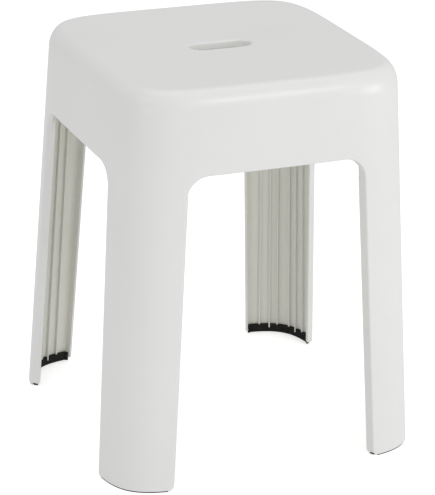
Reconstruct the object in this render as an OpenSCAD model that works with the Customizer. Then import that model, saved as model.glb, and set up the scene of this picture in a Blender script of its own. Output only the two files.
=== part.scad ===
// Shower stool: a one-piece moulded seat with four open channel legs,
// and a rubber foot pressed into the bottom of each leg.
// Origin on the floor, midway between the feet. +Z up, front towards -Y.

/* [Overall] */
// Height from the floor to the rim of the seat
total_h = 440; // [380:5:500]
// Width across the outer faces, continued down to the floor
base_w = 371; // [330:1:440]
// Width across the outer faces, continued up to the seat
seat_w = 326; // [290:1:370]
// Squareness of the plan at the floor, where 2 is a circle
base_square = 6.1; // [5:0.1:8]
// Squareness of the plan at the seat
seat_square = 5.1; // [4:0.1:7]
// Wall thickness of the moulding
wall = 3; // [2.5:0.1:4]

/* [Seat] */
// Thickness of the seat panel
seat_t = 3.5; // [2.5:0.1:5]
// How far the rounded edge reaches in over the seat
edge_in = 18; // [10:0.5:24]
// How far the rounded edge reaches down the skirt
edge_down = 26; // [14:0.5:32]
// Depth of the shallow dish in the middle of the seat
dish = 3; // [0:0.5:5]
// Thickness of the stiffening ribs under the seat
seat_rib_t = 1.8; // [1.2:0.1:3]
// Depth of the stiffening ribs under the seat
seat_rib_depth = 8; // [4:0.5:14]
// Distance of the outer under-seat ribs from the middle
seat_rib_x = 70; // [50:1:85]

/* [Hand slot] */
// Length of the slot, parallel to the front
slot_l = 72; // [60:1:100]
// Width of the slot
slot_w = 25; // [18:1:36]
// Radius of the slot's rounded upper edge
slot_round = 2.5; // [1:0.1:3.5]
// Wall thickness of the collar round the slot
collar_t = 2.5; // [2:0.1:4]
// Depth of the collar below the seat surface
collar_depth = 8; // [5:0.5:14]

/* [Side arches] */
// Width of each arch at the floor
arch_w_floor = 241.6; // [200:0.5:260]
// Width of each arch at its top, its straight sides continued
arch_w_top = 203.4; // [170:0.5:220]
// Height of each arch above the floor
arch_h = 350; // [280:5:380]
// Radius of the arch's upper corners
arch_corner_r = 24; // [12:1:40]
// Depth of the lip along the top of the arch, wall included
arch_lip_depth = 5.5; // [4:0.5:10]
// Thickness of that lip
arch_lip_t = 2.5; // [1.5:0.1:4]

/* [Legs] */
// Depth of the flange on each side of a leg, wall included
flange_depth = 9; // [6:0.5:14]
// Thickness of the leg flanges
flange_t = 2.5; // [1.5:0.1:4]
// Lean of the flanges towards the middle of the arch, in degrees
flange_lean = 26; // [0:1:35]
// Radius of the rounded lower corners of a leg
leg_corner_r = 4.5; // [2:0.5:6]
// Thickness of the ribs inside the legs
leg_rib_t = 1.8; // [1:0.1:3]
// How far those ribs stand in from the wall
leg_rib_depth = 3.6; // [2:0.1:6]
// Direction of the inner pair of ribs, in degrees from the leg's diagonal
rib_inner_a = 2.2; // [1.6:0.1:3]
// Direction of the middle pair, the long ones that reach into the foot
rib_middle_a = 4.9; // [4:0.1:6]
// Direction of the outer pair of ribs
rib_outer_a = 8.1; // [7:0.1:9]

/* [Rubber feet] */
// Height of a foot above the floor
foot_h = 10.5; // [8:0.5:16]
// Thickness of the upright strip inside the leg
foot_t = 3.4; // [2:0.1:6]
// Thickness of the sole under the leg
sole_t = 1.5; // [1:0.1:3]
// How far the sole stays back from the outer face
sole_inset = 0.6; // [0.2:0.1:1.5]
// Gap between a foot and the moulding
foot_gap = 0.15; // [0.05:0.05:0.4]
// How far a foot's sides stop short of the flanges' free edges
pad_short = 1.5; // [0.5:0.1:3]
// Height of the bottom of the long ribs inside the foot
long_rib_z = 6; // [4:0.5:7]

/* [Hidden] */

moulded_white = "#f2f2ee";
rubber_black = "#1b1b1a";

side_steps = 18;        // points round a quarter of the plan
edge_steps = 5;         // rings round the seat's edge
arc_steps = 6;          // points round a corner of an arch
slot_steps = 10;        // points round an end of the slot
round_steps = 4;        // rings round a small rounded edge
thin = 0.01;            // height of the slices that a rib is hulled between
past = 15;              // how far a cutter runs past what it cuts

seat_rim_z = total_h - edge_down;              // where the seat's edge begins
seat_mid_z = total_h - dish;                   // seat surface in the middle
lean = tan(flange_lean);
arch_slope = (arch_w_top - arch_w_floor) / 2 / arch_h;
flange_x = flange_t / cos(flange_lean);        // flange thickness along X
plan_ref = (base_square + seat_square) / 2;    // spreads the plan's points
straight_z = [0.5];                            // rings up the straight sides
dish_rings = [0.8, 0.5, 0.25];                 // rings across the seat panel
middle = 0.02;                                 // the last of them, nearly a point

// ---- plan of the moulding ------------------------------------------------

function mix(a, b, t) = a + (b - a) * t;
function half_w(z) = mix(base_w, seat_w, z / total_h) / 2;
function square_at(z) = mix(base_square, seat_square, z / total_h);

// Distance from the axis to the outer face, in direction a.
function reach(z, a) =
    let (n = square_at(z))
    half_w(z) / pow(pow(abs(cos(a)), n) + pow(abs(sin(a)), n), 1 / n);

// Direction that the outer face looks in, where direction a meets it.
function facing(z, a) =
    let (n = square_at(z) - 1,
         x = sign(cos(a)) * pow(abs(cos(a)), n),
         y = sign(sin(a)) * pow(abs(sin(a)), n))
    [x, y] / norm([x, y]);

// Point in direction a, set in from the outer face.
function plan_point(z, a, inset) =
    reach(z, a) * [cos(a), sin(a)] - inset * facing(z, a);

// Height-independent directions, closer together round the corners.
function plan_angle(i) =
    let (quarter = floor(i / side_steps),
         t = (i - quarter * side_steps) * 90 / side_steps)
    quarter * 90
        + (t == 0 ? 0 : atan2(pow(sin(t), 2 / plan_ref), pow(cos(t), 2 / plan_ref)));

plan_angles = [for (i = [0 : 4 * side_steps - 1]) plan_angle(i)];

function ring(plan_z, z, inset, shrink = 1) =
    [for (a = plan_angles)
        let (p = plan_point(plan_z, a, inset) * shrink) [p.x, p.y, z]];

// ---- solids from rings of points -----------------------------------------

// Skin over a stack of rings, closed flat at both ends.
module skin(rings) {
    n = len(rings[0]);
    last = len(rings) - 1;
    sides = [for (i = [0 : last - 1], j = [0 : n - 1])
        let (a = i * n + j, b = i * n + (j + 1) % n)
        each [[a, a + n, b + n], [a, b + n, b]]];
    bottom = [for (j = [0 : n - 1]) j];
    top = [for (j = [n - 1 : -1 : 0]) last * n + j];
    polyhedron(points = [for (r = rings) each r],
               faces = concat(sides, [bottom], [top]), convexity = 12);
}

// Rings of the outside, or of a surface set in from it by inset, from z_low
// up the straight sides, round the edge and in to the middle of the panel.
function shell_rings(z_low, inset, drop) =
    concat(
        [ring(z_low, z_low, inset)],
        [for (t = straight_z)
            let (z = mix(0, seat_rim_z, t)) ring(z, z, inset)],
        [for (k = [0 : edge_steps])
            let (a = 90 * k / edge_steps)
            ring(seat_rim_z, seat_rim_z + (edge_down - drop) * sin(a),
                 inset + (edge_in - min(inset, wall)) * (1 - cos(a)))],
        [for (u = dish_rings)
            ring(seat_rim_z, total_h - drop - dish * pow(1 - u * u, 2),
                 edge_in - min(inset, wall) + inset, u)],
        [ring(seat_rim_z, total_h - drop - dish, edge_in, middle)]);

// Everything inside a surface set in from the outer face.
module inside(inset, drop) skin(shell_rings(-past, inset, drop));

// Everything inside the flanges' free edges, rounded in at their lower ends.
module inside_flanges() {
    r = leg_corner_r;
    skin(concat(
        [ring(-past, -past, flange_depth - r)],
        [for (k = [0 : round_steps])
            let (a = 90 * k / round_steps, z = sole_t + r * (1 - cos(a)))
            ring(z, z, flange_depth - r + r * sin(a))],
        [for (t = straight_z)
            let (z = mix(0, seat_rim_z, t)) ring(z, z, flange_depth)],
        [ring(total_h, total_h, flange_depth)]));
}

// ---- the arches ----------------------------------------------------------

// Half width of an arch at height z, on the plane y, with its sides leaning
// in towards the middle of the stool. grow moves its edge out all round.
function arch_half(y, z, grow) =
    arch_w_floor / 2 + arch_slope * z + lean * (-y - half_w(z)) + grow;

// Right-hand half of the outline of an arch on the plane y, from the bottom.
function arch_side(y, grow, corner) =
    let (r = arch_corner_r + grow,
         slope = arch_slope + lean * (base_w - seat_w) / 2 / total_h,
         zc = arch_h + grow - r,
         xc = arch_half(y, zc, grow) - r * sqrt(1 + slope * slope),
         first = atan(-slope),
         foot_z = sole_t + corner,
         foot_x = arch_half(y, foot_z, grow) + corner)
    concat(
        [[foot_x, -past]],
        [for (k = [0 : arc_steps / 2])
            let (a = 270 - 90 * k / (arc_steps / 2))
            [foot_x + corner * cos(a), foot_z + corner * sin(a)]],
        [for (k = [0 : arc_steps])
            let (a = mix(first, 90, k / arc_steps))
            [xc + r * cos(a), zc + r * sin(a)]]);

function arch_outline(y, grow, corner) =
    let (side = arch_side(y, grow, corner), n = len(side))
    concat(side, [for (i = [n - 1 : -1 : 0]) [-side[i].x, side[i].y]]);

// Block that fills an arch, from outside the stool in to depth.
module arch_block(grow, corner, depth) {
    y_out = -base_w / 2 - past;
    y_in = -seat_w / 2 + depth;
    skin([for (y = [y_in, y_out])
        [for (p = arch_outline(y, grow, corner)) [p.x, y, p.y]]]);
}

// Upright plate along the side of an arch, from the floor to the seat.
module flange_plate() {
    y_out = -base_w / 2;
    y_in = -seat_w / 2 + flange_depth + past;
    skin([for (y = [y_in, y_out])
        let (a = arch_half(y, 0, 0), b = arch_half(y, total_h, 0))
        [[a, y, 0], [a + flange_x, y, 0],
         [b + flange_x, y, total_h], [b, y, total_h]]]);
}

module four_sides() for (turn = [0 : 90 : 270]) rotate([0, 0, turn]) children();

// Lip along the top of every arch, down to where the flanges take over.
module arch_lips() difference() {
    four_sides() arch_block(arch_lip_t, leg_corner_r, flange_depth + past);
    inside(arch_lip_depth, arch_lip_depth);
    translate([-base_w, -base_w, -past])
        cube([2 * base_w, 2 * base_w, arch_h - arch_corner_r + past]);
}

// Flanges down both sides of every leg, carried up behind the skirt.
module leg_flanges() difference() {
    four_sides() {
        flange_plate();
        mirror([1, 0, 0]) flange_plate();
    }
    inside_flanges();
}

// ---- ribs ----------------------------------------------------------------

// One upright rib on the inside of a leg, in direction a, grown on its free
// sides by a clearance.
module leg_rib(a, z_low, grow = 0) {
    z_high = total_h - seat_t;
    hull()
        for (z = [z_low, z_high]) {
            p = plan_point(z, a, wall + leg_rib_depth + grow);
            f = facing(z, a);
            translate([p.x, p.y, z])
                rotate([0, 0, atan2(f.y, f.x)])
                    translate([0, -leg_rib_t / 2 - grow, 0])
                        cube([leg_rib_depth + wall / 2 + grow,
                              leg_rib_t + 2 * grow, thin]);
        }
}

module leg_ribs()
    for (turn = [45 : 90 : 315], side = [-1, 1]) {
        leg_rib(turn + side * rib_inner_a, foot_h + foot_gap);
        leg_rib(turn + side * rib_middle_a, long_rib_z);
        leg_rib(turn + side * rib_outer_a, foot_h + foot_gap);
    }

// Grid under the seat, from the collar and each other out to the skirt.
module seat_ribs() {
    z = seat_mid_z - seat_t - seat_rib_depth;
    for (turn = [0, 90], x = [-seat_rib_x, 0, seat_rib_x])
        rotate([0, 0, turn])
            translate([x - seat_rib_t / 2, -seat_w / 2, z])
                cube([seat_rib_t, seat_w, total_h - z]);
}

// ---- hand slot -----------------------------------------------------------

// Outline of the slot, grown all round, as a ring at height z.
function slot_ring(z, grow) =
    let (r = slot_w / 2 + grow, x = (slot_l - slot_w) / 2)
    concat(
        [for (k = [0 : slot_steps])
            let (a = -90 + 180 * k / slot_steps) [x + r * cos(a), r * sin(a), z]],
        [for (k = [0 : slot_steps])
            let (a = 90 + 180 * k / slot_steps) [-x + r * cos(a), r * sin(a), z]]);

// Hole through the seat, opening out in a round at the top.
module slot_hole()
    skin(concat(
        [slot_ring(seat_mid_z - collar_depth - past, 0)],
        [for (k = [0 : round_steps])
            let (a = 90 * k / round_steps)
            slot_ring(seat_mid_z - slot_round * (1 - sin(a)),
                      slot_round * (1 - cos(a)))],
        [slot_ring(total_h + past, slot_round)]));

module collar()
    skin([slot_ring(seat_mid_z - collar_depth, collar_t),
          slot_ring(total_h, collar_t)]);

// ---- the nodes -----------------------------------------------------------

module stool_body() color(moulded_white) difference() {
    skin(shell_rings(sole_t, 0, 0));
    difference() {
        inside(wall, seat_t);
        arch_lips();
        leg_flanges();
        leg_ribs();
        difference() {
            seat_ribs();
            collar();
        }
        collar();
    }
    four_sides() arch_block(0, leg_corner_r, flange_depth + past);
    slot_hole();
}

// Upright band inside the corner at +X +Y, between two insets from the outer
// face, cut off square at x_end on one side and y = x_end on the other. It
// has the body's own directions, so that its facets lie along the wall's.
module corner_band(z, height, from, to, x_end) {
    dirs = [for (i = [0 : side_steps]) plan_angle(i)];
    intersection() {
        linear_extrude(height)
            polygon(concat([for (a = dirs) plan_point(z, a, from)],
                           [for (i = [side_steps : -1 : 0])
                               plan_point(z, dirs[i], to)]));
        translate([x_end, x_end, 0]) cube([base_w, base_w, height]);
    }
}

// Where a foot clears the inner face of a flange, at a distance y from the middle.
function beside_flange(y) =
    max(arch_half(-y, 0, 0), arch_half(-y, foot_h, 0)) + flange_x + foot_gap;

// Inner face of the wall at a foot's top, at a distance x from the middle.
function inside_wall(x) =
    plan_point(foot_h, atan2(base_w / 2, x), wall + foot_gap).y;

// Side of the foot that lies along the flange at the +Y side of that leg.
module flange_pad() {
    y_wall = inside_wall(arch_w_floor / 2 + flange_x + foot_gap + foot_t);
    y_tip = y_wall + wall - flange_depth + pad_short;
    linear_extrude(foot_h)
        polygon([for (end = [[y_tip, 0], [y_wall, 0], [y_wall, 1], [y_tip, 1]])
            [beside_flange(end[0]) + end[1] * foot_t, end[0]]]);
}

// Foot for the leg at +X +Y, kept inside the arches' outlines.
module foot() color(rubber_black) {
    x_strip = beside_flange(inside_wall(arch_w_floor / 2));
    difference() {
        union() {
            corner_band(0, sole_t, sole_inset, wall + foot_t, x_strip);
            corner_band(foot_h, foot_h, wall + foot_gap, wall + foot_t, x_strip);
            flange_pad();
            mirror([1, -1, 0]) flange_pad();
        }
        for (turn = [90, 180])
            rotate([0, 0, turn]) arch_block(0, leg_corner_r, flange_depth + past);
        for (side = [-1, 1])
            leg_rib(45 + side * rib_middle_a, long_rib_z - foot_gap, foot_gap);
    }
}

module foot_front_left() rotate([0, 0, 180]) foot();
module foot_front_right() rotate([0, 0, 270]) foot();
module foot_rear_left() rotate([0, 0, 90]) foot();
module foot_rear_right() foot();

stool_body();
foot_front_left();
foot_front_right();
foot_rear_left();
foot_rear_right();
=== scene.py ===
# %% [markdown]
# # A moulded shower stool
# The stool is one white injection moulding on four black rubber feet. The CAD
# frame gives its true size and place. In this lesson we keep that frame, and
# model the visible skin again with softer edges, thin ribs and real finishes.

import math

import bmesh
import bpy
import numpy as np
from mathutils import Matrix, Vector


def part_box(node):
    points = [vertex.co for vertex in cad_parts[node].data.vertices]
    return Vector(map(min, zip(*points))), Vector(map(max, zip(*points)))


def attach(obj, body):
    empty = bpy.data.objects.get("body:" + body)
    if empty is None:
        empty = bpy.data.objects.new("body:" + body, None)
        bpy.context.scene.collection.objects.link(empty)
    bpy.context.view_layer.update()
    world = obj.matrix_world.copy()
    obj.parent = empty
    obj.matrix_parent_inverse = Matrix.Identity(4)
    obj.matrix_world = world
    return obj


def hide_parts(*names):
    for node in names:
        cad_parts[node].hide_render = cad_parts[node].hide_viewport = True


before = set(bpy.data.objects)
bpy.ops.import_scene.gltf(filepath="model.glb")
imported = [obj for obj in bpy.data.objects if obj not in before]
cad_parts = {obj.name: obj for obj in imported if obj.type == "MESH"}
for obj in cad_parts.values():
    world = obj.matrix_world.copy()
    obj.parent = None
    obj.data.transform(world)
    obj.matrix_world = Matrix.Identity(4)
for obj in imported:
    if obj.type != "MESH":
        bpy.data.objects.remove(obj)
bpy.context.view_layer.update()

# %% [markdown]
# ## Camera
# A long lens a good two metres away keeps the legs nearly parallel. The camera
# looks down on the seat and a little from the left, and is tilted by about one
# degree. We turn those angles into three axes, and the axes into a matrix.

# %% Camera from its angles
AIM = Vector((0, 0, 0.220))
TURN, RISE, ROLL = math.radians(-22.65), math.radians(21.82), math.radians(1.19)
REACH = Vector((0.00159, -0.02049, 2.4659))     # right, up and back from the aim

back = Vector((math.sin(TURN) * math.cos(RISE), -math.cos(TURN) * math.cos(RISE),
               math.sin(RISE)))
level = Vector((math.cos(TURN), math.sin(TURN), 0))
upright = back.cross(level)
right = math.cos(ROLL) * level + math.sin(ROLL) * upright
up = math.cos(ROLL) * upright - math.sin(ROLL) * level

camera = bpy.data.objects.new("camera", bpy.data.cameras.new("camera"))
bpy.context.collection.objects.link(camera)
turned = Matrix((right, up, back)).transposed().to_4x4()
spot = AIM + right * REACH.x + up * REACH.y + back * REACH.z
camera.matrix_world = Matrix.Translation(spot) @ turned
camera.data.sensor_width = 36
camera.data.lens = 158.63
camera.data.clip_end = 50
bpy.context.scene.camera = camera
print("camera at", [round(v, 3) for v in spot])

# %% [markdown]
# ## Light and floor
# A white plastic thing on a white floor is lit like a product on a light table:
# the floor glows a little, so that no hard shadow falls, and large soft lights
# give each side of the stool its own grey.

# %% Soft studio
SKY = 0.605
FLOOR_GLOW, SEEN_GLOW = 0.15, 0.6                # as the stool and the camera see it
LIGHTS = {
    # name: place, size, power
    "low_right_softbox": ((2.2, -1.9, 0.7), 0.8, 13.0),
    "high_front_softbox": ((0.95, -2.25, 1.8), 0.6, 8.0),
    "low_left_softbox": ((-2.4, -1.6, 0.5), 0.6, 3.5),
    "high_left_softbox": ((-1.8, -0.6, 1.95), 0.3, 2.4),
    "top_softbox": ((0.1, 0.2, 2.6), 2.2, 10.0),
}

world = bpy.data.worlds.new("white_room")
world.use_nodes = True
world.node_tree.nodes["Background"].inputs["Color"].default_value = (1, 1, 1, 1)
world.node_tree.nodes["Background"].inputs["Strength"].default_value = SKY
bpy.context.scene.world = world
bpy.context.scene.view_settings.view_transform = "Standard"

for name, (place, size, power) in LIGHTS.items():
    lamp = bpy.data.lights.new(name, "AREA")
    lamp.shape, lamp.size, lamp.energy = "SQUARE", size, power
    light = bpy.data.objects.new(name, lamp)
    bpy.context.collection.objects.link(light)
    light.location = place
    light.rotation_mode = "QUATERNION"
    light.rotation_quaternion = (Vector(place) - AIM).to_track_quat("Z", "Y")
print(len(LIGHTS), "soft lights")


def deselect_all():
    """Edit mode off and nothing selected, as every step starts."""
    if bpy.context.object and bpy.context.object.mode != "OBJECT":
        bpy.ops.object.mode_set(mode="OBJECT")
    bpy.ops.object.select_all(action="DESELECT")


deselect_all()
bpy.ops.mesh.primitive_circle_add(vertices=96, radius=9, fill_type="NGON",
                                  location=(0, 0, 0))
floor = bpy.context.object
floor.name = "floor"

# %% [markdown]
# ## The stool's measures
# Every size of the moulding is given once, in metres, as a maker would list it.
# The plan is a squared-off round, called a superellipse: its sides bulge very
# slightly and its corners are soft. It is widest at the floor and narrows upwards.

# %% Named sizes
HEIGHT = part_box("stool_body")[1].z
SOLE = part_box("stool_body")[0].z                 # the rubber under the legs
HALF_FLOOR, HALF_SEAT = 0.1855, 0.163
SQUARE_FLOOR, SQUARE_SEAT = 6.1, 5.1
WALL, FLANGE_T = 0.003, 0.0025
EDGE_IN, EDGE_DOWN, DISH = 0.018, 0.026, 0.003
RIM_Z = HEIGHT - EDGE_DOWN
ARCH_FLOOR, ARCH_TOP = 0.1208, 0.1017            # half widths of an arch
ARCH_Z, ARCH_R = 0.350, 0.024
LEAN = math.tan(math.radians(26))                # of the flanges along the legs
FLANGE, LIP = 0.009, 0.0055
TOE = 0.0045                                     # round lower corner of a leg
SLOT_HALF, SLOT_R, SLOT_ROUND = 0.036, 0.0125, 0.0025
COLLAR_Z = HEIGHT - DISH - 0.008


def mix(a, b, t):
    return a + (b - a) * t


def half_width(z):
    return mix(HALF_FLOOR, HALF_SEAT, z / HEIGHT)


def outline_point(z, angle, inset=0.0):
    """Point of the plan at height z in a direction, set in from the outside."""
    w, n = half_width(z), mix(SQUARE_FLOOR, SQUARE_SEAT, z / HEIGHT)
    c, s = math.cos(angle), math.sin(angle)
    r = w / (abs(c) ** n + abs(s) ** n) ** (1 / n)
    out = Vector((math.copysign(abs(c) ** (n - 1), c),
                  math.copysign(abs(s) ** (n - 1), s))).normalized()
    return Vector((r * c, r * s)) - out * inset


def side_angle(z, along):
    """Direction in which the right side's outline is `along` from its middle."""
    w, n = half_width(z), mix(SQUARE_FLOOR, SQUARE_SEAT, z / HEIGHT)
    return math.atan2(along, w * (1 - (along / w) ** n) ** (1 / n))


print("plan at the floor", round(2000 * half_width(0)), "mm, at the seat",
      round(2000 * half_width(HEIGHT)), "mm")

# %% [markdown]
# ## Where the edge of an arch runs
# Each side has an arch with leaning sides and round upper corners, and each leg
# ends below in a small round. So for any height we need to know how far from the
# middle of the side the leg begins. We list the heights once, from top to bottom.

# %% Rows of the legs
ARCH_SLOPE = (ARCH_TOP - ARCH_FLOOR) / ARCH_Z


def straight_edge(z):
    """Half width of the arch on the outside, where its edge is straight."""
    w, n = half_width(z), mix(SQUARE_FLOOR, SQUARE_SEAT, z / HEIGHT)
    x = start = ARCH_FLOOR + ARCH_SLOPE * z
    for _ in range(6):
        x = start + LEAN * (w * (1 - (x / w) ** n) ** (1 / n) - w)
    return x


CORNER_Z, TOE_Z = ARCH_Z - ARCH_R, SOLE + TOE
FAN = 0.024            # how far the top row rises towards the middle of a leg
leg_rows = []          # height at the arch, half width of the arch, rise of the row
for a in np.radians(np.linspace(90, 0, 10)):
    leg_rows.append((CORNER_Z + ARCH_R * math.sin(a),
                     straight_edge(CORNER_Z) - ARCH_R * (1 - math.cos(a)),
                     FAN * math.tan(a / 2)))
for z in np.linspace(CORNER_Z, TOE_Z, 28)[1:]:
    leg_rows.append((z, straight_edge(z), 0))
for a in np.radians(np.linspace(0, 90, 5))[1:]:
    leg_rows.append((TOE_Z - TOE * math.sin(a),
                     straight_edge(TOE_Z) + TOE * (1 - math.cos(a)), 0))
print(len(leg_rows), "rows down a leg, from", round(leg_rows[0][0], 3), "to",
      round(leg_rows[-1][0], 4))

# %% [markdown]
# ## Columns round the plan
# The skin is laid out like cloth: rows run round it and columns run down it. An
# eighth of the plan is worked out, from the middle of a side to a corner, and is
# then mirrored and turned, so that all four legs match.

# %% Columns of an eighth, then of the whole ring
ARCH_COLS, LEG_COLS = 12, 20                     # in an eighth of the plan


def even_angles(z, first, count):
    """Directions from `first` to the corner, evenly spaced along the outline."""
    fine = np.linspace(first, math.pi / 4, 240)
    spots = np.array([outline_point(z, a)[:] for a in fine])
    gone = np.concatenate([[0], np.cumsum(np.linalg.norm(np.diff(spots, axis=0), axis=1))])
    return np.interp(np.linspace(0, gone[-1], count + 1), gone, fine)


def whole_ring(eighth):
    """Directions all round, from those of an eighth (first at 0, last at 45)."""
    quarter = list(eighth) + [math.pi / 2 - a for a in eighth[-2:0:-1]]
    return [a + turn * math.pi / 2 for turn in range(4) for a in quarter]


top_edge = leg_rows[0][1]
arch_part = [side_angle(ARCH_Z, top_edge * k / ARCH_COLS) for k in range(ARCH_COLS)]
leg_part = even_angles(ARCH_Z, side_angle(ARCH_Z, top_edge), LEG_COLS)
RING = whole_ring(arch_part + list(leg_part))
COLUMNS = len(RING)
PER_SIDE = COLUMNS // 4
print(COLUMNS, "columns round the stool")

# %% [markdown]
# ## Pulling the skin
# Now the modelling itself. A circle is added as the first ring, at the top of the
# arches. In edit mode the loose edge of the skin is extruded again and again, and
# each new row is set to its own outline. Two number layers remember which column
# and row a vertex is in, because an extruded vertex inherits its column.

# %% Helpers for rows
LAYERS = ("column", "row")


def make_active(obj):
    deselect_all()
    obj.select_set(True)
    bpy.context.view_layer.objects.active = obj


def start_edit(obj):
    make_active(obj)
    bpy.ops.object.mode_set(mode="EDIT")


def start_ring(name, count, fill="NOTHING"):
    """A circle in edit mode, all selected, with its columns numbered."""
    deselect_all()
    bpy.ops.mesh.primitive_circle_add(vertices=count, radius=HALF_SEAT, fill_type=fill)
    obj = bpy.context.object
    obj.name = obj.data.name = name
    bpy.ops.object.mode_set(mode="EDIT")
    bm = bmesh.from_edit_mesh(obj.data)
    for layer in LAYERS:
        bm.verts.layers.int.new(layer)
    column = bm.verts.layers.int["column"]
    bm.verts.ensure_lookup_table()
    for i, v in enumerate(bm.verts):
        v[column] = i
    bmesh.update_edit_mesh(obj.data)
    bpy.ops.mesh.select_all(action="SELECT")
    return obj


def drop_layers(obj):
    for layer in LAYERS:
        obj.data.attributes.remove(obj.data.attributes[layer])


def place_row(obj, row, spots):
    """Set the selected vertices to their column's place and number their row."""
    bm = bmesh.from_edit_mesh(obj.data)
    column, rows = bm.verts.layers.int["column"], bm.verts.layers.int["row"]
    for v in bm.verts:
        if v.select:
            v.co = spots[v[column]]
            v[rows] = row
    bmesh.update_edit_mesh(obj.data)


def pull_row(obj, row, spots):
    bpy.ops.mesh.extrude_edges_move()
    place_row(obj, row, spots)


def select_edges(obj, wanted):
    """Select just the edges that `wanted(edge, bmesh)` says yes to."""
    bpy.ops.mesh.select_mode(type="EDGE")
    bpy.ops.mesh.select_all(action="DESELECT")
    bm = bmesh.from_edit_mesh(obj.data)
    count = 0
    for e in bm.edges:
        if wanted(e, bm):
            e.select_set(True)
            count += 1
    bmesh.update_edit_mesh(obj.data)
    return count


# %% Skirt and rounded edge of the seat
SKIRT_ROWS, EDGE_ROWS = 8, 14
LEG_SPAN = 2 * LEG_COLS


def leg_column(i):
    """Number of a column within its leg, or None between the legs."""
    k = i % PER_SIDE - ARCH_COLS
    return k if 0 <= k <= LEG_SPAN else None


def fan_rise(i):
    """Share of a row's rise that column i has: none at an arch, all at a corner."""
    k = leg_column(i)
    return 0 if k is None else 1 - abs(k / LEG_COLS - 1) ** 3


def skirt_row(share):
    """A row between the arches' tops (0) and the start of the rounded edge (1)."""
    spots = []
    for i, a in enumerate(RING):
        z = mix(ARCH_Z + FAN * fan_rise(i), RIM_Z, share)
        spots.append(Vector((*outline_point(z, a), z)))
    return spots


def edge_row(bend):
    """A row of the rounded seat edge, bend going from 0 on the skirt to 90."""
    z = RIM_Z + EDGE_DOWN * math.sin(bend)
    inset = EDGE_IN * (1 - math.cos(bend))
    return [Vector((*outline_point(RIM_Z, a, inset), z)) for a in RING]


moulding = start_ring("stool_moulding", COLUMNS)
place_row(moulding, 0, skirt_row(0))
for row in range(1, SKIRT_ROWS + 1):
    pull_row(moulding, row, skirt_row(row / SKIRT_ROWS))
for bend in np.radians(np.linspace(0, 90, EDGE_ROWS + 1))[1:]:
    row += 1
    pull_row(moulding, row, edge_row(bend))
seat_rim = edge_row(math.pi / 2)
print("skin up to the seat:", row, "rows")

# %% Seat panel, dished, down into the hand slot
PANEL_ROWS, COLLAR_ROWS = 18, 2
rim_angle = np.array([math.atan2(p.y, p.x) % (2 * math.pi) for p in seat_rim])
rim_reach = np.array([math.hypot(p.x, p.y) for p in seat_rim])
order = np.argsort(rim_angle)


def seat_z(x, y):
    """Height of the dished seat: level at its edge, lowest in the middle."""
    a = math.atan2(y, x) % (2 * math.pi)
    full = np.interp(a, rim_angle[order], rim_reach[order], period=2 * math.pi)
    share = min(1.0, math.hypot(x, y) / full)
    return HEIGHT - DISH * (1 - share ** 2) ** 2


def slot_spot(share):
    """Point on the slot's outline, share running from 0 to 1 all round it."""
    flat, turn = SLOT_HALF - SLOT_R, math.pi / 2 * SLOT_R
    s = (share % 0.25) * 4 if int(share * 4) % 2 == 0 else 1 - (share % 0.25) * 4
    gone = s * (flat + turn)
    x, y = ((flat + SLOT_R * math.cos(gone / SLOT_R), SLOT_R * math.sin(gone / SLOT_R))
            if gone < turn else (flat - (gone - turn), SLOT_R))
    quarter = int(share * 4)
    return ((x, y), (-x, y), (-x, -y), (x, -y))[quarter]


slot = [Vector((*slot_spot(i / COLUMNS), 0)) for i in range(COLUMNS)]
for step in range(1, PANEL_ROWS + 1):
    t = step / PANEL_ROWS
    spots = []
    for outer, inner in zip(seat_rim, slot):
        x, y = mix(outer.x, inner.x, t), mix(outer.y, inner.y, t)
        spots.append(Vector((x, y, seat_z(x, y))))
    row += 1
    pull_row(moulding, row, spots)
for step in range(1, COLLAR_ROWS + 1):
    row += 1
    pull_row(moulding, row, [Vector((p.x, p.y, mix(seat_z(p.x, p.y), COLLAR_Z,
                                                   step / COLLAR_ROWS))) for p in slot])
COLLAR_ROW = row
print("skin down into the hand slot:", row, "rows")

# %% Legs, pulled down from the first ring
def leg_row_spots(z, edge, rise):
    half = even_angles(z, side_angle(z, edge), LEG_COLS)
    across = list(half) + [math.pi / 2 - a for a in half[-2::-1]]
    spots = {}
    for i in range(COLUMNS):
        k = leg_column(i)
        if k is not None:
            a = across[k] + (i // PER_SIDE) * math.pi / 2
            high = z + rise * fan_rise(i)
            spots[i] = Vector((*outline_point(high, a), high))
    return spots


def first_row_of_legs(edge, bm):
    column, rows = bm.verts.layers.int["column"], bm.verts.layers.int["row"]
    a, b = edge.verts
    return (a[rows] == b[rows] == 0 and leg_column(a[column]) is not None
            and leg_column(b[column]) is not None
            and a[column] // PER_SIDE == b[column] // PER_SIDE)


select_edges(moulding, first_row_of_legs)
for step, (z, edge, rise) in enumerate(leg_rows[1:], 1):
    pull_row(moulding, -step, leg_row_spots(z, edge, rise))
LAST_ROW = -(len(leg_rows) - 1)
print("skin down the legs:", -LAST_ROW, "rows")

# %% [markdown]
# ## Lips and flanges
# The open edge of each arch is turned inwards: a deep flange stiffens the sides of
# the legs, and becomes a shallower lip over the top of the arch. The flanges lean
# towards the middle of the arch, so that the moulding comes off its tool.

# %% Turn the edges of the arches inwards
TOE_TURN = math.sin(math.radians(46))            # flanges end half-way round a toe


def arch_edge(edge, bm):
    rows = bm.verts.layers.int["row"]
    low = min(v.co.z for v in edge.verts) < TOE_Z - TOE * TOE_TURN
    return edge.is_boundary and not low and edge.verts[0][rows] != COLLAR_ROW


def flange_depth(z):
    """How deep the turned-in edge is: shallow at the toe and over the arch."""
    if z < TOE_Z:
        return FLANGE - TOE * (1 - math.sqrt(1 - ((TOE_Z - z) / TOE) ** 2))
    past_corner = min(1.0, max(0.0, (z - CORNER_Z) / (ARCH_R * 0.25)))
    return mix(FLANGE, LIP, past_corner ** 2 * (3 - 2 * past_corner))


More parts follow.
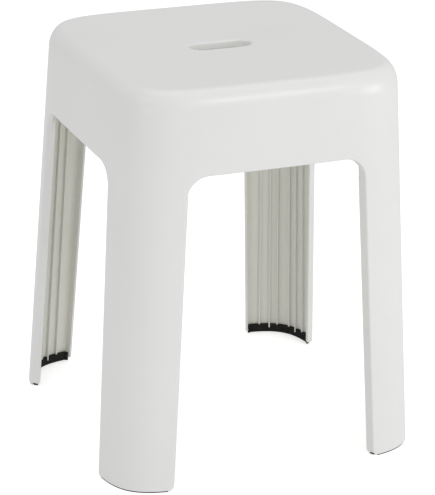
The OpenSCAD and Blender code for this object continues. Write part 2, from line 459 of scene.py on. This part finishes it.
arch_edges = select_edges(moulding, arch_edge)
bpy.ops.mesh.extrude_edges_move()
bm = bmesh.from_edit_mesh(moulding.data)
for v in bm.verts:
    if v.select:
        deep = flange_depth(v.co.z)
        across, inward = (0, 1) if abs(v.co.y) > abs(v.co.x) else (1, 0)
        share = min(1.0, abs(v.co[across]) / (top_edge - 0.004))
        v.co[across] -= math.copysign(LEAN * deep * share, v.co[across])
        v.co[inward] -= math.copysign(deep, v.co[inward])
bmesh.update_edit_mesh(moulding.data)
print(arch_edges, "edges turned in")

# %% Give the skin its thickness
def apply(obj, kind, name, **values):
    """Add a modifier, set it up and apply it."""
    make_active(obj)
    mod = obj.modifiers.new(name, kind)
    for key, value in values.items():
        setattr(mod, key, value)
    bpy.ops.object.modifier_apply(modifier=name)


bpy.ops.mesh.select_all(action="SELECT")
bpy.ops.mesh.normals_make_consistent(inside=False)
bm = bmesh.from_edit_mesh(moulding.data)
top_face = max(bm.faces, key=lambda f: f.calc_center_median().z)
if top_face.normal.z < 0:
    bpy.ops.mesh.flip_normals()
apply(moulding, "SOLIDIFY", "thickness", thickness=WALL, offset=-1,
      use_even_offset=True, use_quality_normals=True)
print("with thickness:", len(moulding.data.polygons), "faces")

# %% Round the edges
SHARP, ON_SKIN = 0.7, 0.0002                     # turn of an edge in radians, and metres
ARCH_ROUND, SMALL_ROUND = 0.0014, 0.0006


def edge_turn(edge):
    return edge.calc_face_angle(0)


def outside_gap(co):
    """How far a point lies inside the outer skin, seen in plan."""
    z = min(max(co.z, 0), RIM_Z)
    return outline_point(z, math.atan2(co.y, co.x)).length - co.xy.length


def outer_arch_edge(edge, bm):
    return (edge_turn(edge) > SHARP and edge.verts[0].co.z < RIM_Z
            and min(v.co.z for v in edge.verts) > SOLE + ON_SKIN
            and max(outside_gap(v.co) for v in edge.verts) < ON_SKIN)


def slot_edge(edge, bm):
    return (edge_turn(edge) > SHARP and all(abs(v.co.x) < 0.05 and abs(v.co.y) < 0.05
                                          for v in edge.verts)
            and min(v.co.z for v in edge.verts) > HEIGHT - DISH - 0.001)


def crisp_edge(edge, bm):
    return edge_turn(edge) > SHARP


start_edit(moulding)
for wanted, radius, steps in ((outer_arch_edge, ARCH_ROUND, 4), (slot_edge, SLOT_ROUND, 6),
                              (crisp_edge, SMALL_ROUND, 2)):
    count = select_edges(moulding, wanted)
    bpy.ops.mesh.bevel(offset=radius, segments=steps, profile=0.5, affect="EDGES",
                       clamp_overlap=True)
    print(wanted.__name__, count, "edges rounded")
deselect_all()

# %% [markdown]
# ## Ribs inside the legs
# Six thin upright ribs stiffen every leg, and run on up behind the skirt. One rib
# is a cube whose corners are set to the rib's own places: its back is buried in the
# wall, its top in the round of the seat's edge, and its free edges are rounded. One
# leg's ribs are modelled, then copied and turned for the other legs.

# %% One upright bar, from a cube
def upright_bar(name, low, high, radius):
    """A cube set to two rings of four corners, low and high, the first two of each
    at the free side, whose long edges are rounded."""
    deselect_all()
    bpy.ops.mesh.primitive_cube_add(size=2)
    bar = bpy.context.object
    bar.name = bar.data.name = name
    place = {(-1, -1): 0, (1, -1): 1, (1, 1): 2, (-1, 1): 3}
    free = []
    for v in bar.data.vertices:
        k = place[(round(v.co.x), round(v.co.y))]
        if k < 2:
            free.append(v.index)
        v.co = (high if v.co.z > 0 else low)[k]
    start_edit(bar)
    bpy.ops.mesh.normals_make_consistent(inside=False)
    select_edges(bar, lambda e, bm: all(v.index in free for v in e.verts)
                 and abs((e.verts[0].co - e.verts[1].co).normalized().z) > 0.3)
    bpy.ops.mesh.bevel(offset=radius, segments=3, profile=0.5, affect="EDGES")
    deselect_all()
    return bar


def join(name, objects):
    deselect_all()
    for obj in objects:
        obj.select_set(True)
    bpy.context.view_layer.objects.active = objects[0]
    if len(objects) > 1:
        bpy.ops.object.join()
    whole = bpy.context.view_layer.objects.active
    whole.name = whole.data.name = name
    return whole


def turned_twin(obj, quarters):
    """A copy of the piece, turned about the middle of the stool."""
    twin = obj.copy()
    twin.data = obj.data.copy()
    twin.data.transform(Matrix.Rotation(quarters * math.pi / 2, 4, "Z"))
    bpy.context.collection.objects.link(twin)
    return twin


def turned_copies(obj, name):
    """The piece and three copies of it, a quarter turn apart, as one."""
    return join(name, [obj] + [turned_twin(obj, quarters) for quarters in (1, 2, 3)])


# %% Ribs of one leg, then of all four
RIB_T, RIB_DEPTH = 0.0018, 0.0036
RIB_TURNS = (2.2, 4.9, 8.1)                      # degrees from the leg's diagonal
FOOT_Z, LONG_RIB_Z = 0.01065, 0.006               # bottoms of short and long ribs
RIB_TOP, RIB_BACK_TOP, RIB_ROUND = 0.431, 0.416, 0.0005


def rib_ring(angle, z_free, z_back):
    """Four corners of a rib's end: two at its free side, two in the wall."""
    spots = []
    for z, inset, side in ((z_free, WALL + RIB_DEPTH, -1), (z_free, WALL + RIB_DEPTH, 1),
                           (z_back, WALL / 2, 1), (z_back, WALL / 2, -1)):
        low_z = min(z, RIM_Z)
        p = outline_point(low_z, angle, inset)
        out = (outline_point(low_z, angle) - p).normalized()
        spots.append(Vector((p.x - out.y * side * RIB_T / 2, p.y + out.x * side * RIB_T / 2, z)))
    return spots


ribs = []
for turn in RIB_TURNS:
    for side in (-1, 1):
        angle = math.radians(45 + side * turn)
        foot = LONG_RIB_Z if turn == RIB_TURNS[1] else FOOT_Z
        ribs.append(upright_bar("rib", rib_ring(angle, foot, foot),
                                rib_ring(angle, RIB_TOP, RIB_BACK_TOP), RIB_ROUND))
leg_ribs = turned_copies(join("rib", ribs), "leg_ribs")
print("leg ribs:", 4 * len(ribs))


# %% Flange plates that run on behind the skirt
PLATE_Z = CORNER_Z - 0.004                       # they start on the flanges below
PLATE_TOP, PLATE_BACK_TOP, PLATE_ROUND = 0.434, 0.418, 0.0006


def plate_ring(z_free, z_back, side):
    spots = []
    for z, inset, thick in ((z_free, FLANGE, 0), (z_free, FLANGE, 1),
                            (z_back, WALL / 2, 1), (z_back, WALL / 2, 0)):
        low_z = min(z, RIM_Z)
        skin_y = outline_point(low_z, side_angle(low_z, ARCH_TOP)).x
        x = (ARCH_FLOOR + ARCH_SLOPE * z + LEAN * (skin_y - half_width(low_z) - inset)
             + thick * FLANGE_T * math.sqrt(1 + LEAN ** 2))
        spots.append(Vector((side * x, inset - skin_y, z)))
    return spots


plates = [upright_bar("plate", plate_ring(PLATE_Z, PLATE_Z, side),
                      plate_ring(PLATE_TOP, PLATE_BACK_TOP, side), PLATE_ROUND)
          for side in (-1, 1)]
leg_ribs = join("leg_ribs", [leg_ribs, turned_copies(join("plate", plates), "plates")])
print("flange plates: 8")

# %% [markdown]
# ## Ribs under the seat
# A grid of low ribs carries the panel. Those through the middle stop at the collar
# of the hand slot. They go in two lots, one for each direction, because a boolean
# is safest when what it adds doesn't cross itself.

# %% Under-seat ribs
SEAT_RIB_T, SEAT_RIB_Z, SEAT_RIB_AT = 0.0018, 0.4255, 0.070
SEAT_RIB_TOP = HEIGHT - DISH - 0.0002


def seat_rib(along, start, stop):
    """A rib parallel to +X at y = along, from start out to stop."""
    half = SEAT_RIB_T / 2
    low = [Vector((x, along + y, SEAT_RIB_Z)) for x, y in
           ((start[0], -half), (start[0], half), (stop[0], half), (stop[0], -half))]
    high = [Vector((x, along + y, SEAT_RIB_TOP)) for x, y in
            ((start[1], -half), (start[1], half), (stop[1], half), (stop[1], -half))]
    return upright_bar("seat_rib", low, high, 0.0001)


def seat_rib_set(name, turn, collar):
    reach = half_width(RIM_Z)
    end = (reach - 0.0035, reach - 0.011)
    bars = [seat_rib(y, (-end[0], -end[1]), end) for y in (-SEAT_RIB_AT, SEAT_RIB_AT)]
    bars += [seat_rib(0, (collar, collar), end),
             seat_rib(0, (-end[0], -end[1]), (-collar, -collar))]
    whole = join(name, bars)
    whole.data.transform(Matrix.Rotation(turn, 4, "Z"))
    return whole


seat_ribs = [seat_rib_set("seat_ribs_across", 0, SLOT_HALF + WALL / 2),
             seat_rib_set("seat_ribs_along", math.pi / 2, SLOT_R + WALL / 2)]

# %% Everything into one moulding
for extra in [leg_ribs] + seat_ribs:
    apply(moulding, "BOOLEAN", "union", operation="UNION", solver="EXACT", object=extra)
    bpy.data.objects.remove(extra)
print("one moulding:", len(moulding.data.polygons), "faces")

# %% [markdown]
# ## Rubber feet
# Each foot is an upright strip of black rubber inside the bottom of a leg, on a thin
# sole that shows as a dark line under the white edge. Its section is drawn as a flat
# loop and extruded round the corner of the leg. Two slots take the long ribs.

# %% One foot, then four
FOOT_H, FOOT_T, FOOT_GAP, SOLE_INSET = 0.0105, 0.0034, 0.00015, 0.0006
FOOT_STEPS = 40
PAD_SHORT = 0.0015                               # its sides stop short of the flanges


def flange_inside(y, z):
    """Where the inner face of a flange is, at a distance y from the middle."""
    return (ARCH_FLOOR + ARCH_SLOPE * z + LEAN * (y - half_width(z))
            + FLANGE_T * math.sqrt(1 + LEAN ** 2))


def foot_line(inset, z, count):
    """Plan line of a foot's face: down a flange, round the wall, up the other."""
    deep = inset - WALL if z > SOLE else 0
    x_end = flange_inside(HALF_FLOOR - inset, z) + FOOT_GAP + deep
    first = side_angle(z, x_end) if z > SOLE else side_angle(z, ARCH_FLOOR + TOE)
    turns = np.linspace(first, math.pi / 2 - first, count + 1)
    wall_line = [outline_point(z, a, inset) for a in turns]
    if z <= SOLE:
        return wall_line
    tip = HALF_FLOOR - FLANGE + PAD_SHORT - 0.003
    ends = [Vector((tip, flange_inside(tip, z) + FOOT_GAP + deep))]
    return ends + wall_line + [Vector((p.y, p.x)) for p in reversed(ends)]


def foot_band(name, inner, outer, low, high, count):
    """A band between two plan lines, extruded along them from end to end."""
    lines = [(foot_line(inset, (low + high) / 2, count), z)
             for inset, z in ((outer, low), (outer, high), (inner, high), (inner, low))]
    band = start_ring(name, 4, "NGON")
    for i in range(len(lines[0][0])):
        if i:
            bpy.ops.mesh.extrude_region_move()
        place_row(band, i, [Vector((*line[i], z)) for line, z in lines])
    bpy.ops.mesh.select_all(action="SELECT")
    bpy.ops.mesh.normals_make_consistent(inside=False)
    deselect_all()
    drop_layers(band)
    return band


def rubber_foot():
    """Foot of the leg at +X +Y: a strip inside the leg, standing on a thin sole."""
    strip = foot_band("strip", WALL + FOOT_T, WALL + FOOT_GAP, 0.0003, FOOT_H, FOOT_STEPS)
    sole = foot_band("sole", WALL + FOOT_T - 0.0004, SOLE_INSET, 0.0, SOLE, FOOT_STEPS)
    apply(strip, "BOOLEAN", "sole", operation="UNION", solver="EXACT", object=sole)
    bpy.data.objects.remove(sole)
    return strip


def rib_slots():
    """Two cutters for the slots of the long ribs."""
    cutters = []
    for side in (-1, 1):
        angle = math.radians(45 + side * RIB_TURNS[1])
        wide = RIB_T / 2 + FOOT_GAP
        rings = []
        for z in (LONG_RIB_Z - FOOT_GAP, FOOT_H + 0.002):
            inner, outer = (outline_point(FOOT_H, angle, WALL + FOOT_T + 0.002),
                            outline_point(FOOT_H, angle, WALL - 0.001))
            out = (outer - inner).normalized()
            across = Vector((-out.y, out.x)) * wide
            rings.append([Vector((*p, z)) for p in (inner - across, inner + across,
                                                    outer + across, outer - across)])
        cutters.append(upright_bar("slot", rings[0], rings[1], 0.0001))
    return join("rib_slots", cutters)


foot = rubber_foot()
slots = rib_slots()
apply(foot, "BOOLEAN", "rib_slots", operation="DIFFERENCE", solver="EXACT", object=slots)
bpy.data.objects.remove(slots)
start_edit(foot)
select_edges(foot, lambda e, bm: e.is_manifold and edge_turn(e) > 0.9)
bpy.ops.mesh.bevel(offset=0.0003, segments=2, profile=0.5, affect="EDGES", clamp_overlap=True)
deselect_all()
TURNS = {"rear_right": 0, "rear_left": 1, "front_left": 2, "front_right": 3}
feet = {}
for place, quarter in TURNS.items():
    feet[place] = turned_twin(foot, quarter)
    feet[place].name = feet[place].data.name = "rubber_foot_" + place
bpy.data.objects.remove(foot)
print(len(feet), "feet of", len(feet["front_left"].data.polygons), "faces")

# %% Stand the legs flat on their soles
below = [v for v in moulding.data.vertices if v.co.z < SOLE]
for v in below:
    v.co.z = SOLE
print("brought up to the soles:", len(below), "vertices")

# %% [markdown]
# ## Shading, and painted shade inside
# Smooth shading by angle keeps the flats flat and the rounds round. Deep inside the
# moulding the colour gets painted shade: a touch creamier and darker, and less of it
# on the free edges of the ribs. A number on every vertex says how far inside the skin
# it lies, and the plastic's colour reads it.

# %% Smooth shading
drop_layers(moulding)
for piece in [moulding, *feet.values()]:
    make_active(piece)
    bpy.ops.object.shade_smooth_by_angle(angle=math.radians(40))
    apply(piece, "WEIGHTED_NORMAL", "even_shading", keep_sharp=True)


# %% How far inside each vertex is
def depth_inside(co):
    """Distance below the outer skin, 0 on it, in metres."""
    gap = outside_gap(co)
    if gap < EDGE_IN:
        cover = RIM_Z + EDGE_DOWN * math.sqrt(1 - (1 - max(gap, 0) / EDGE_IN) ** 2)
    else:
        cover = seat_z(co.x, co.y)
    in_slot = abs(co.x) < SLOT_HALF + WALL and abs(co.y) < SLOT_R + WALL
    return 0 if in_slot else max(0, min(gap, cover - co.z))


# The depth sets the painted shade: 0 on the skin, 1 past the wall, less again towards the free
# edges of the ribs.
inside = moulding.data.attributes.new("inside", "FLOAT", "POINT")
for v in moulding.data.vertices:
    depth = depth_inside(v.co)
    on_rib = min(0.8, max(0, (depth - WALL) / RIB_DEPTH - 0.2))
    inside.data[v.index].value = max(0, min(1, depth / WALL * 2 - 1) - on_rib)
print("moulding:", len(moulding.data.polygons), "faces")

# %% [markdown]
# ## Finishes
# A moulding copies its steel tool: a fine even grain that takes the shine down to
# satin, broad faint waves where the plastic sank as it cooled, and short scuffs from
# use. Rubber copies a coarser tool and holds dust. Both use one grain group and one
# scuff group, each with its own values, so they are built once.

# %% Shader group: grain of the tool
def new_group(name, inputs, outputs):
    group = bpy.data.node_groups.new(name, "ShaderNodeTree")
    for label, default in inputs:
        socket = group.interface.new_socket(label, in_out="INPUT", socket_type="NodeSocketFloat")
        socket.default_value = default
    for label in outputs:
        group.interface.new_socket(label, in_out="OUTPUT", socket_type="NodeSocketFloat")
    return group, group.nodes.new("NodeGroupInput"), group.nodes.new("NodeGroupOutput")


def add(tree, kind, **values):
    """A node with its settings, and the default values of its sockets by name."""
    node = tree.nodes.new("ShaderNode" + kind)
    for key, value in values.items():
        if key.startswith("s_"):
            node.inputs[key[2:].replace("_", " ")].default_value = value
        else:
            setattr(node, key, value)
    return node


def link(tree, source, target):
    tree.links.new(source, target)


grain, grain_in, grain_out = new_group(
    "tool_grain", [("Grain Scale", 1800.0), ("Wave Scale", 14.0), ("Wave Share", 0.3)],
    ["Height", "Patches"])
place = add(grain, "TexCoord")
fine = add(grain, "TexNoise", s_Detail=3.0, s_Roughness=0.6)
waves = add(grain, "TexNoise", s_Detail=2.0, s_Roughness=0.45)
blend = add(grain, "Mix", data_type="FLOAT")
for node, socket in ((fine, "Grain Scale"), (waves, "Wave Scale")):
    link(grain, place.outputs["Object"], node.inputs["Vector"])
    link(grain, grain_in.outputs[socket], node.inputs["Scale"])
link(grain, grain_in.outputs["Wave Share"], blend.inputs[0])
link(grain, fine.outputs["Fac"], blend.inputs[2])
link(grain, waves.outputs["Fac"], blend.inputs[3])
link(grain, blend.outputs[0], grain_out.inputs["Height"])
link(grain, waves.outputs["Fac"], grain_out.inputs["Patches"])
print("group", grain.name)

# %% Shader group: short scuffs
scuffs, scuffs_in, scuffs_out = new_group(
    "fine_scuffs", [("Scale", 60.0), ("Amount", 0.5)], ["Scuffs"])
place = add(scuffs, "TexCoord")
masks = []
for turn in (0.5, 2.1):
    turned = add(scuffs, "Mapping", s_Rotation=(0.3, 0.2, turn), s_Scale=(1.0, 14.0, 14.0))
    streaks = add(scuffs, "TexNoise", s_Detail=1.0)
    lines = add(scuffs, "MapRange", s_From_Min=0.60, s_From_Max=0.90)
    link(scuffs, place.outputs["Object"], turned.inputs["Vector"])
    link(scuffs, turned.outputs["Vector"], streaks.inputs["Vector"])
    link(scuffs, scuffs_in.outputs["Scale"], streaks.inputs["Scale"])
    link(scuffs, streaks.outputs["Fac"], lines.inputs["Value"])
    masks.append(lines)
either = add(scuffs, "Math", operation="MAXIMUM")
amount = add(scuffs, "Math", operation="MULTIPLY", use_clamp=True)
link(scuffs, masks[0].outputs["Result"], either.inputs[0])
link(scuffs, masks[1].outputs["Result"], either.inputs[1])
link(scuffs, either.outputs["Value"], amount.inputs[0])
link(scuffs, scuffs_in.outputs["Amount"], amount.inputs[1])
link(scuffs, amount.outputs["Value"], scuffs_out.inputs["Scuffs"])
print("group", scuffs.name)


# %% Helpers for a finish
def new_finish(name, **constants):
    """A material with a Principled shader whose constants sit on its own sockets."""
    finish = bpy.data.materials.new(name)
    finish.use_nodes = True
    shader = finish.node_tree.nodes["Principled BSDF"]
    for key, value in constants.items():
        shader.inputs[key.replace("_", " ")].default_value = value
    return finish, finish.node_tree, shader


def group_node(tree, group, **values):
    node = tree.nodes.new("ShaderNodeGroup")
    node.node_tree = group
    for key, value in values.items():
        node.inputs[key.replace("_", " ")].default_value = value
    return node


def spread(tree, source, low, high):
    """Map a 0 to 1 mask between two values."""
    node = add(tree, "MapRange", s_To_Min=low, s_To_Max=high)
    link(tree, source, node.inputs["Value"])
    return node.outputs["Result"]


def colours(tree, mask, first, second):
    node = add(tree, "Mix", data_type="RGBA")
    link(tree, mask, node.inputs[0])
    for socket, colour in ((6, first), (7, second)):
        if isinstance(colour, tuple):
            node.inputs[socket].default_value = (*colour, 1)
        else:
            link(tree, colour, node.inputs[socket])
    return node.outputs[2]


# %% Satin white moulding
plastic, tree, shader = new_finish("satin_white_moulding", IOR=1.49)
pores = group_node(tree, grain, Grain_Scale=1700.0, Wave_Scale=11.0, Wave_Share=0.25)
marks = group_node(tree, scuffs, Scale=55.0, Amount=0.25)
within = add(tree, "Attribute", attribute_name="inside")
outer = colours(tree, pores.outputs["Patches"], (0.800, 0.800, 0.795), (0.835, 0.835, 0.826))
# The inner colours are painted shade: creamier and darker, where the inside of the moulding lies
# in its own shade.
inner = colours(tree, pores.outputs["Patches"], (0.800, 0.796, 0.725), (0.835, 0.830, 0.765))
colour_with_painted_shade = colours(tree, within.outputs["Fac"], outer, inner)
link(tree, colour_with_painted_shade, shader.inputs["Base Color"])
satin = spread(tree, pores.outputs["Patches"], 0.26, 0.36)
rubbed = add(tree, "Math", operation="MULTIPLY_ADD", use_clamp=True)
link(tree, marks.outputs["Scuffs"], rubbed.inputs[0])
rubbed.inputs[1].default_value = 0.16
link(tree, satin, rubbed.inputs[2])
link(tree, rubbed.outputs["Value"], shader.inputs["Roughness"])
relief = add(tree, "Bump", s_Strength=0.10, s_Distance=0.0002)
link(tree, pores.outputs["Height"], relief.inputs["Height"])
link(tree, relief.outputs["Normal"], shader.inputs["Normal"])
moulding.data.materials.clear()
moulding.data.materials.append(plastic)
print("finish", plastic.name)

# %% Matt black rubber
rubber, tree, shader = new_finish("matt_black_rubber", IOR=1.45, Specular_IOR_Level=0.3)
pores = group_node(tree, grain, Grain_Scale=1100.0, Wave_Scale=60.0, Wave_Share=0.35)
dust = group_node(tree, scuffs, Scale=140.0, Amount=0.8)
black = colours(tree, pores.outputs["Patches"], (0.007, 0.007, 0.0065), (0.013, 0.013, 0.012))
dusty = colours(tree, dust.outputs["Scuffs"], black, (0.03, 0.03, 0.028))
link(tree, dusty, shader.inputs["Base Color"])
link(tree, spread(tree, pores.outputs["Patches"], 0.62, 0.80), shader.inputs["Roughness"])
relief = add(tree, "Bump", s_Strength=0.35, s_Distance=0.0003)
link(tree, pores.outputs["Height"], relief.inputs["Height"])
link(tree, relief.outputs["Normal"], shader.inputs["Normal"])
for piece in feet.values():
    piece.data.materials.clear()
    piece.data.materials.append(rubber)
print("finish", rubber.name)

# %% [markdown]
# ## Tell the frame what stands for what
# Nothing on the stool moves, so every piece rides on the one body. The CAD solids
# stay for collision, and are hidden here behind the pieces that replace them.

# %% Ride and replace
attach(moulding, "root")
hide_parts("stool_body")
for corner, piece in feet.items():
    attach(piece, "root")
    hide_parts("foot_" + corner)

# %% [markdown]
# ## The floor's finish
# Plain and pale. It glows a little, and more to the camera than to the stool, so
# that it looks white without filling the stool's shadows.

# %% Pale floor
ground = bpy.data.materials.new("pale_floor")
ground.use_nodes = True
nodes, links = ground.node_tree.nodes, ground.node_tree.links
shader = nodes["Principled BSDF"]
shader.inputs["Base Color"].default_value = (0.8, 0.8, 0.8, 1)
shader.inputs["Roughness"].default_value = 0.9
shader.inputs["Emission Color"].default_value = (1, 1, 1, 1)
seen = nodes.new("ShaderNodeLightPath")
glow = nodes.new("ShaderNodeMapRange")
glow.inputs["To Min"].default_value = FLOOR_GLOW
glow.inputs["To Max"].default_value = SEEN_GLOW
links.new(seen.outputs["Is Camera Ray"], glow.inputs["Value"])
links.new(glow.outputs["Result"], shader.inputs["Emission Strength"])
floor.data.materials.append(ground)
